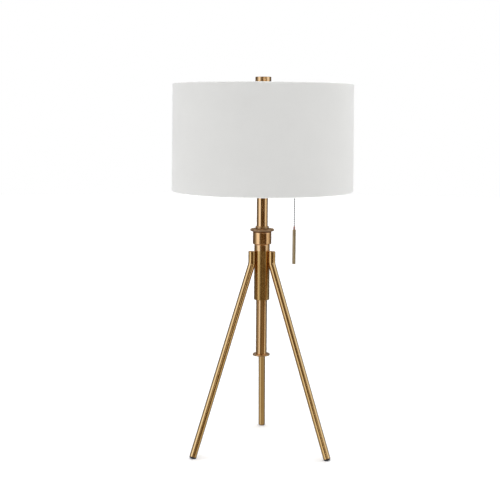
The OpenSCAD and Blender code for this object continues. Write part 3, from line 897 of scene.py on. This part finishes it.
def stud_mesh():
    """Crimped block with the threaded stud above it."""
    prof = [(0, 769.0)] + rounded([(0, 769.0), (8.0, 769.0, 1.0), (8.0, 778.0, 0.8), (3.0, 778.0)], 5)[1:]
    z = 778.6
    while z < 795.2:
        prof += [(2.78, z), (3.1, z + 0.4), (2.78, z + 0.8)]
        z += 0.8
    prof += [(2.4, 796.0), (0, 796.0)]
    return lathe(prof, 64, closed=False)


finish_mesh("harp_stud_turned", *stud_mesh(), m_fitting, "riser", "brass_fittings", ("harp_stud",))
for s, word in ((-1, "front"), (1, "rear")):
    m = Matrix.Translation((0, s * 29 * MM, 0))
    finish_mesh("harp_lock_" + word, *lathe(rounded([
        (2.1, 576.2, 0.3), (3.1, 576.2, 0.4), (3.1, 577.4, 0.2), (2.85, 577.8, 0.2), (2.85, 592.4, 0.2), (3.1, 592.8, 0.2), (3.1, 594.0, 0.4), (2.1, 594.0, 0.3),
    ], 4), 36, axis=m), m_fitting, word + "_sleeve", "brass_fittings", ("harp_sleeve_" + word,))

# ------------------------------------------------------------------ shade
SHADE_LOW, SHADE_TOP = 565.0, 790.0


def shade_r(z):
    return 192.75 + (190.25 - 192.75) * (z - SHADE_LOW) / (SHADE_TOP - SHADE_LOW)


RING_TOP, RING_LOW = (186.9, 787.4), (189.35, 567.6)
SEAM = math.radians(96.0)


def shade_angles():
    """Columns round the drum, closer together at the seam."""
    fine = [SEAM + d / 190.0 for d in (-1.2, -0.5, -0.25, 0.0, 0.25, 0.6, 1.5, 4.0, 8.0, 11.0, 12.0, 13.0, 14.5, 17.0)]
    n = 300
    rough = [SEAM + 2 * PI * k / n for k in range(n)]
    keep = [a for a in rough if (a - SEAM) * 190 > 19.5 and (2 * PI - (a - SEAM)) * 190 > 3.0]
    return sorted(fine + keep)


def seam_lift(a):
    """How far the doubled cloth at the seam stands out, in mm."""
    d = ((a - SEAM + PI) % (2 * PI) - PI) * 190.0
    if d < -0.25:
        return 0.0
    if d < 0.25:
        return 0.55 * (d + 0.25) / 0.5
    if d < 11.5:
        return 0.55 - 0.04 * d / 11.5
    t = min(1.0, (d - 11.5) / 4.0)
    return 0.51 * (1 - t * t * (3 - 2 * t))


def cloth_profile():
    """The cloth's outside, from the tuck under the lower ring, up the wall, to the tuck at the upper ring."""
    out = []
    cr, cz = RING_LOW
    wall = shade_r(cz) - cr
    for k in range(16):
        t = math.radians(-260 + 260 * k / 15)
        ax = wall if math.cos(t) > 0 else 2.62
        out.append((cr + ax * math.cos(t), cz + 2.6 * math.sin(t)))
    for k in range(1, 24):
        z = cz + (RING_TOP[1] - cz) * k / 24
        out.append((shade_r(z), z))
    cr, cz = RING_TOP
    wall = shade_r(cz) - cr
    for k in range(16):
        t = math.radians(260 * k / 15)
        ax = wall if math.cos(t) > 0 else 2.62
        out.append((cr + ax * math.cos(t), cz + 2.6 * math.sin(t)))
    return out


def offset_profile(pts, d):
    """The same line moved sideways by d, to the inside of the drum's wall."""
    out = []
    for i, p in enumerate(pts):
        a, b = pts[max(0, i - 1)], pts[min(len(pts) - 1, i + 1)]
        t = Vector((b[0] - a[0], b[1] - a[1])).normalized()
        n = Vector((-t.y, t.x))
        out.append((p[0] + n.x * d, p[1] + n.y * d))
    return out


def cloth_mesh():
    outer = cloth_profile()
    inner = offset_profile(outer, 0.55)
    loop = outer + list(reversed(inner))
    no = len(outer)
    angles = shade_angles()
    verts, cols = [], []
    for a in angles:
        lift = seam_lift(a)
        # the drum is never perfectly round: two slow waves of a few tenths of a millimetre
        wave = 0.12 * math.sin(2 * a + 0.6) + 0.08 * math.sin(5 * a + 1.1)
        col = []
        for i, (r, z) in enumerate(loop):
            mid = 1.0 if RING_LOW[1] - 1 < z < RING_TOP[1] + 1 and r > shade_r(z) - 1.0 else 0.0
            outside = i < no
            rr = r + (lift if outside and r > cloth_edge(z) else 0.0) + (wave * 0.5 * mid * math.sin(PI * min(1, max(0, (z - 567.6) / 219.8))))
            col.append(len(verts))
            verts.append(Vector((rr * math.cos(a), rr * math.sin(a), z)) * MM)
        cols.append(col)
    m = len(loop)
    faces = []
    for k in range(len(cols)):
        p, q = cols[k], cols[(k + 1) % len(cols)]
        for i in range(m):
            j = (i + 1) % m
            faces.append((p[i], p[j], q[j], q[i]))
    return verts, faces


def cloth_edge(z):
    return 188.75 if z < 680 else 186.75


cloth = finish_mesh("shade_cloth_drum", *cloth_mesh(), m_cloth, "shade", "shade_cloth", ("shade_fabric",), angle=50)

finish_mesh("shade_liner_sheet", *lathe(
    [(shade_r(z) - 0.64, z) for z in (567.7, 620, 680, 740, 787.3)] + [(shade_r(z) - 1.30, z) for z in (787.3, 740, 680, 620, 567.7)], 300
), m_liner, "shade", "shade_styrene", ("shade_liner",))
for word, (cr, cz) in (("top", RING_TOP), ("bottom", RING_LOW)):
    ring = [(cr + 1.98 * math.cos(2 * PI * k / 14), cz + 1.98 * math.sin(2 * PI * k / 14)) for k in range(14)]
    finish_mesh("shade_wire_" + word, *lathe(ring, 240), m_wire, "shade", "white_wire", ("shade_%s_ring" % word,))


def spider_mesh():
    """Pressed washer and three arms, flattened at the washer and welded to the upper ring."""
    parts = [lathe(rounded([(3.5, 778.3, 0.3), (15.0, 778.3, 0.4), (15.0, 779.9, 0.4), (3.5, 779.9, 0.3)], 4), 72)]
    for az in (90, 210, 330):
        rot = Matrix.Rotation(math.radians(az), 4, "Z")
        z0, z1, reach = 779.1, 787.4, 184.75
        xs = [11.5, 13, 15.5, 17.5, 19, 22, 30, 60, 100, 140, 170, 178, 182.0, 184.75]
        path = []
        for x in xs:
            t = max(0.0, (x - 17.5) / (reach - 17.5))
            path.append(Vector((x, 0, z0 + (z1 - z0) * t)))
        rows = [(0, 0, 0, 0)]
        for i, x in enumerate(xs):
            if x <= 17.5:
                rows.append((i, 2.1, 0.78, 0))
            elif x <= 19:
                rows.append((i, 1.8, 1.1, 0))
            elif x < 181:
                rows.append((i, 1.5, 1.5, 0))
            else:
                rows.append((i, 1.9, 1.7, 0))
        rows.append((len(xs) - 1, 0, 0, 0))
        v, f, _ = sweep(path, rows, n=20, first=(0, 1, 0))
        parts.append(moved((v, f), rot))
    return join(*parts)


finish_mesh("spider_frame", *spider_mesh(), m_wire, "shade", "white_wire", ("shade_spider",), angle=45)

finish_mesh("finial_knob", *lathe(rounded([
    (0, 797.4), (3.2, 797.4, 0.2), (3.2, 780.2, 0.3), (16.3, 780.2, 0.3), (17.05, 780.9, 0.4), (17.05, 804.8, 0.75), (9.0, 804.8), (4.0, 804.78), (0, 804.75),
], 6), 128, closed=False), m_finial, "finial", "brass_satin", ("finial",))

# ------------------------------------------------------------------ bulb
def bulb_mesh():
    c, r = 686.0, 30.0
    outer = [(r * math.cos(math.radians(t)), c + r * math.sin(math.radians(t))) for t in range(90, -41, -5)]
    outer[0] = (0.0, c + r)
    neck = [(20.9, 660.5), (19.2, 656.0), (17.7, 652.0), (16.4, 648.8), (15.2, 646.0), (14.1, 643.6), (13.15, 641.5), (12.65, 639.8), (12.5, 638.0), (12.5, 632.6)]
    pts = outer + neck
    inner = []
    for i, p in enumerate(pts):
        a, b = pts[max(0, i - 1)], pts[min(len(pts) - 1, i + 1)]
        t = Vector((b[0] - a[0], b[1] - a[1])).normalized()
        n = Vector((t.y, -t.x))
        inner.append((max(0.0, p[0] + n.x * 1.0), p[1] + n.y * 1.0))
    inner[0] = (0.0, pts[0][1] - 1.0)
    return lathe(pts + list(reversed(inner)), 96, closed=False)


finish_mesh("bulb_globe", *bulb_mesh(), m_glass, "bulb", "frosted_glass", ("bulb_glass",), angle=60)


def bulb_base_mesh():
    z = 612.0
    prof = [(4.62, z), (7.0, z), (12.0, z + 3.9)]
    k = 0
    zz = z + 5.0
    while zz < z + 23.5:
        prof.append((12.75 + 0.42 * math.cos(2 * PI * (zz - z - 5.0) / 3.6), zz))
        zz += 0.45
    prof += [(13.2, z + 24.2), (13.7, z + 25.0), (13.7, z + 28.6), (13.45, z + 29.0), (13.2, z + 28.8), (13.2, z + 25.4), (12.62, z + 24), (12.3, z + 5.6), (6.8, z + 1), (4.62, z + 1)]
    return lathe(prof, 96)


finish_mesh("bulb_screw_base", *bulb_base_mesh(), m_nickel, "bulb", "nickel", ("bulb_base",))

# ------------------------------------------------------------------ CAD nodes that stay, mostly inside
for node, mat in {
    "leg_screws": m_steel,
    "lower_guide": m_plastic,
    "nipple": m_fitting,
    "nipple_nut": m_fitting,
    "switch_body": m_plastic,
    "screw_shell": m_nickel,
    "centre_contact": m_fitting,
    "bulb_contact": m_plastic,
}.items():
    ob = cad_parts[node]
    ob.data.materials.clear()
    ob.data.materials.append(mat)

# ------------------------------------------------------------------ stage: pale floor and soft studio light
def make_floor():
    me = bpy.data.meshes.new("floor")
    rings = [0.0, 0.25, 0.5, 1.0, 2.0, 4.0, 7.0]
    n = 64
    verts, faces = [(0, 0, 0)], []
    for r in rings[1:]:
        verts += [(r * math.cos(2 * PI * k / n), r * math.sin(2 * PI * k / n), 0) for k in range(n)]
    for k in range(n):
        faces.append((0, 1 + k, 1 + (k + 1) % n))
    for q in range(len(rings) - 2):
        a, b = 1 + q * n, 1 + (q + 1) * n
        for k in range(n):
            j = (k + 1) % n
            faces.append((a + k, b + k, b + j, a + j))
    me.from_pydata(verts, [], faces)
    ob = bpy.data.objects.new("floor", me)
    scene.collection.objects.link(ob)
    s = Shader("pale_floor")
    here = s.place()
    colour = s.ramp(s.noise(here, 3, 3), [(0.3, (0.955, 0.955, 0.955)), (0.7, (0.975, 0.975, 0.975))])
    s.bsdf.inputs["Specular IOR Level"].default_value = 0.0
    s.bsdf.inputs["Emission Color"].default_value = (1, 1, 1, 1)
    s.bsdf.inputs["Emission Strength"].default_value = 0.06
    ob.data.materials.append(s.set(Base_Color=colour, Roughness=0.9))
    ob.visible_glossy = False


make_floor()


def area(name, at, aim, size, power, colour=(1, 1, 1)):
    data = bpy.data.lights.new(name, "AREA")
    data.shape = "RECTANGLE"
    data.size, data.size_y = size
    data.energy = power
    data.color = colour
    ob = bpy.data.objects.new(name, data)
    scene.collection.objects.link(ob)
    ob.location = at
    ob.rotation_mode = "QUATERNION"
    ob.rotation_quaternion = (Vector(aim) - Vector(at)).to_track_quat("-Z", "Y")
    ob.visible_camera = False
    ob.visible_glossy = False
    return ob


area("lamp_front", (0.2, -0.55, 1.22), (0, 0, 0.68), (0.3, 0.3), 0.27)
area("lamp_right", (1.3, -0.5, 1.2), (0, 0, 0.68), (0.7, 0.7), 0.65)


def make_world():
    """Soft white surroundings. What shines in the metal is two tall soft boxes, left and right of a darker front."""
    w = bpy.data.worlds.new("studio")
    scene.world = w
    w.use_nodes = True
    w.cycles.sampling_method = "NONE"
    nt = w.node_tree
    nt.nodes.clear()

    def node(kind, **values):
        n = nt.nodes.new(kind)
        for k, v in values.items():
            setattr(n, k, v)
        return n

    def maths(op, a, b=None):
        n = node("ShaderNodeMath", operation=op)
        for i, x in enumerate((a, b)):
            if x is None:
                continue
            if isinstance(x, (int, float)):
                n.inputs[i].default_value = x
            else:
                nt.links.new(x, n.inputs[i])
        return n.outputs[0]

    def ramp(fac, stops):
        n = node("ShaderNodeValToRGB")
        n.color_ramp.interpolation = "EASE"
        e = n.color_ramp.elements
        while len(e) < len(stops):
            e.new(0.5)
        for item, (pos, col) in zip(e, stops):
            item.position = pos
            item.color = (*col, 1)
        nt.links.new(fac, n.inputs["Fac"])
        return n.outputs["Color"]

    def mix(fac, a, b):
        n = node("ShaderNodeMix", data_type="RGBA")
        ins = [s for s in n.inputs if s.enabled]
        for sock, x in zip(ins, (fac, a, b)):
            if isinstance(x, tuple):
                sock.default_value = (*x, 1)
            elif isinstance(x, (int, float)):
                sock.default_value = x
            else:
                nt.links.new(x, sock)
        return next(o for o in n.outputs if o.enabled)

    coord = node("ShaderNodeTexCoord")
    xyz = node("ShaderNodeSeparateXYZ")
    nt.links.new(coord.outputs["Generated"], xyz.inputs[0])
    x, y, z = xyz.outputs
    turn = maths("ADD", maths("MULTIPLY", maths("ARCTAN2", x, maths("MULTIPLY", y, -1.0)), 1 / (2 * PI)), 0.5)

    def at(deg):
        return 0.5 + deg / 360.0

    def around(stops):
        return ramp(turn, [(at(a), c) for a, c in stops])

    # from the ground up: what each height of the surroundings holds, going round from the left to the right
    height = maths("ADD", maths("MULTIPLY", z, 0.5), 0.5)
    shine = around(AT_GROUND)
    for low, high, stops in ((0.22, 0.345, AT_LOW), (0.404, 0.413, AT_KNEE), (0.425, 0.431, AT_LEVEL), (0.501, 0.508, AT_EYE), (0.520, 0.538, AT_UPPER)):
        shine = mix(ramp(height, [(low, (0, 0, 0)), (high, (1, 1, 1))]), shine, around(stops))
    shine = mix(ramp(height, [(0.84, (0, 0, 0)), (0.93, (1, 1, 1))]), shine, ENV_TOP)

    soft_side = ramp(turn, [(at(a), (v, v, v)) for a, v in DIF_SIDES])
    top = ramp(height, [(0.75, (0, 0, 0)), (0.96, (1, 1, 1))])
    soft = mix(top, soft_side, DIF_TOP)

    path = node("ShaderNodeLightPath")
    light = mix(path.outputs["Is Glossy Ray"], soft, shine)
    light = mix(path.outputs["Is Camera Ray"], light, (1.0, 1.0, 1.0))
    bg = node("ShaderNodeBackground")
    nt.links.new(light, bg.inputs["Color"])
    bg.inputs["Strength"].default_value = 1.0
    out = node("ShaderNodeOutputWorld")
    nt.links.new(bg.outputs[0], out.inputs["Surface"])


ENV_DIM = (0.07, 0.06, 0.05)
ENV_BACK = (0.24, 0.26, 0.29)
ENV_TOP = (0.5, 0.52, 0.56)
BOX_BACK_L = (0.95, 1.10, 1.50)
BOX_BACK_R = (0.72, 0.84, 1.12)
AT_GROUND = [
    (-180, (0.27, 0.29, 0.33)), (-100, (0.34, 0.38, 0.48)), (-74, (0.72, 0.88, 1.32)), (-44, (0.72, 0.88, 1.32)), (-26, (0.34, 0.31, 0.25)),
    (10, (0.34, 0.31, 0.25)), (52, (0.42, 0.45, 0.52)), (90, (0.34, 0.38, 0.48)), (125, (0.27, 0.29, 0.33)),
]
AT_LOW = [
    (-176, ENV_BACK), (-169, BOX_BACK_L), (-154, BOX_BACK_L), (-142, ENV_DIM), (-97, (0.24, 0.25, 0.265)), (-70, (0.36, 0.39, 0.46)), (-57, (1.05, 1.24, 1.70)), (-38, (1.05, 1.24, 1.70)),
    (-24, (0.24, 0.21, 0.15)), (-8, (0.08, 0.055, 0.02)), (16, (0.32, 0.28, 0.22)), (36, (0.18, 0.145, 0.095)), (58, (0.27, 0.245, 0.195)),
    (78, (1.00, 1.20, 1.60)), (90, (0.80, 0.96, 1.27)), (105, (0.07, 0.07, 0.07)), (143, ENV_DIM), (153, BOX_BACK_R), (166, BOX_BACK_R), (174, ENV_BACK),
]
AT_KNEE = [
    (-176, ENV_BACK), (-169, BOX_BACK_L), (-154, BOX_BACK_L), (-142, ENV_DIM), (-96, (0.26, 0.28, 0.30)), (-74, (0.40, 0.44, 0.56)), (-58, (0.86, 1.10, 1.75)), (-40, (0.86, 1.10, 1.75)),
    (-24, (0.56, 0.63, 0.82)), (-10, (0.33, 0.30, 0.27)), (6, (0.16, 0.108, 0.048)), (30, (0.105, 0.062, 0.022)), (60, (0.075, 0.046, 0.020)),
    (100, (0.085, 0.072, 0.066)), (125, (0.12, 0.12, 0.125)), (143, ENV_DIM), (153, BOX_BACK_R), (166, BOX_BACK_R), (174, ENV_BACK),
]
AT_LEVEL = [
    (-176, ENV_BACK), (-169, BOX_BACK_L), (-154, BOX_BACK_L), (-142, ENV_DIM), (-118, (0.12, 0.12, 0.13)), (-92, (0.22, 0.24, 0.28)), (-78, (0.55, 0.66, 0.94)), (-64, (1.26, 1.50, 2.26)),
    (-39, (1.26, 1.50, 2.26)), (-27, (0.075, 0.050, 0.022)), (0, (0.085, 0.058, 0.026)), (47, (0.075, 0.050, 0.022)), (64, (1.08, 1.23, 1.68)),
    (84, (0.80, 0.92, 1.20)), (106, (0.56, 0.63, 0.80)), (122, ENV_DIM), (143, ENV_DIM), (153, BOX_BACK_R), (166, BOX_BACK_R), (174, ENV_BACK),
]
AT_EYE = [
    (-176, ENV_BACK), (-169, BOX_BACK_L), (-154, BOX_BACK_L), (-142, ENV_DIM), (-116, (0.12, 0.13, 0.15)), (-92, (0.26, 0.31, 0.42)), (-78, (0.66, 0.80, 1.15)), (-67, (1.20, 1.42, 2.10)),
    (-55, (1.20, 1.42, 2.10)), (-42, (0.05, 0.034, 0.015)), (-10, (0.05, 0.034, 0.015)), (6, (1.42, 1.52, 1.90)), (24, (1.42, 1.52, 1.90)),
    (38, (0.34, 0.34, 0.36)), (52, (0.34, 0.34, 0.36)), (65, (1.15, 1.40, 2.15)), (86, (1.20, 1.48, 2.30)), (102, (0.14, 0.14, 0.15)), (143, ENV_DIM), (153, BOX_BACK_R), (166, BOX_BACK_R), (174, ENV_BACK),
]
AT_UPPER = [
    (-176, ENV_BACK), (-169, BOX_BACK_L), (-154, BOX_BACK_L), (-142, ENV_DIM), (-110, (0.10, 0.10, 0.11)), (-86, (0.44, 0.54, 0.80)), (-64, (1.22, 1.54, 2.65)), (-44, (1.22, 1.54, 2.65)),
    (-28, (0.60, 0.66, 0.84)), (-14, (0.20, 0.17, 0.12)), (0, (0.085, 0.048, 0.014)), (16, (0.105, 0.066, 0.024)), (30, (0.33, 0.34, 0.35)),
    (44, (0.64, 0.76, 1.02)), (60, (0.96, 1.20, 2.05)), (80, (0.90, 1.12, 1.85)), (102, (0.58, 0.76, 1.18)), (124, ENV_DIM), (143, ENV_DIM), (153, BOX_BACK_R), (166, BOX_BACK_R), (174, ENV_BACK),
]
DIF_SIDES = [(-180, 0.75), (-125, 0.25), (-85, 1.20), (-50, 0.10), (50, 0.10), (85, 0.16), (120, 1.35), (160, 0.9)]
DIF_TOP = (1.95, 1.95, 1.95)
make_world()
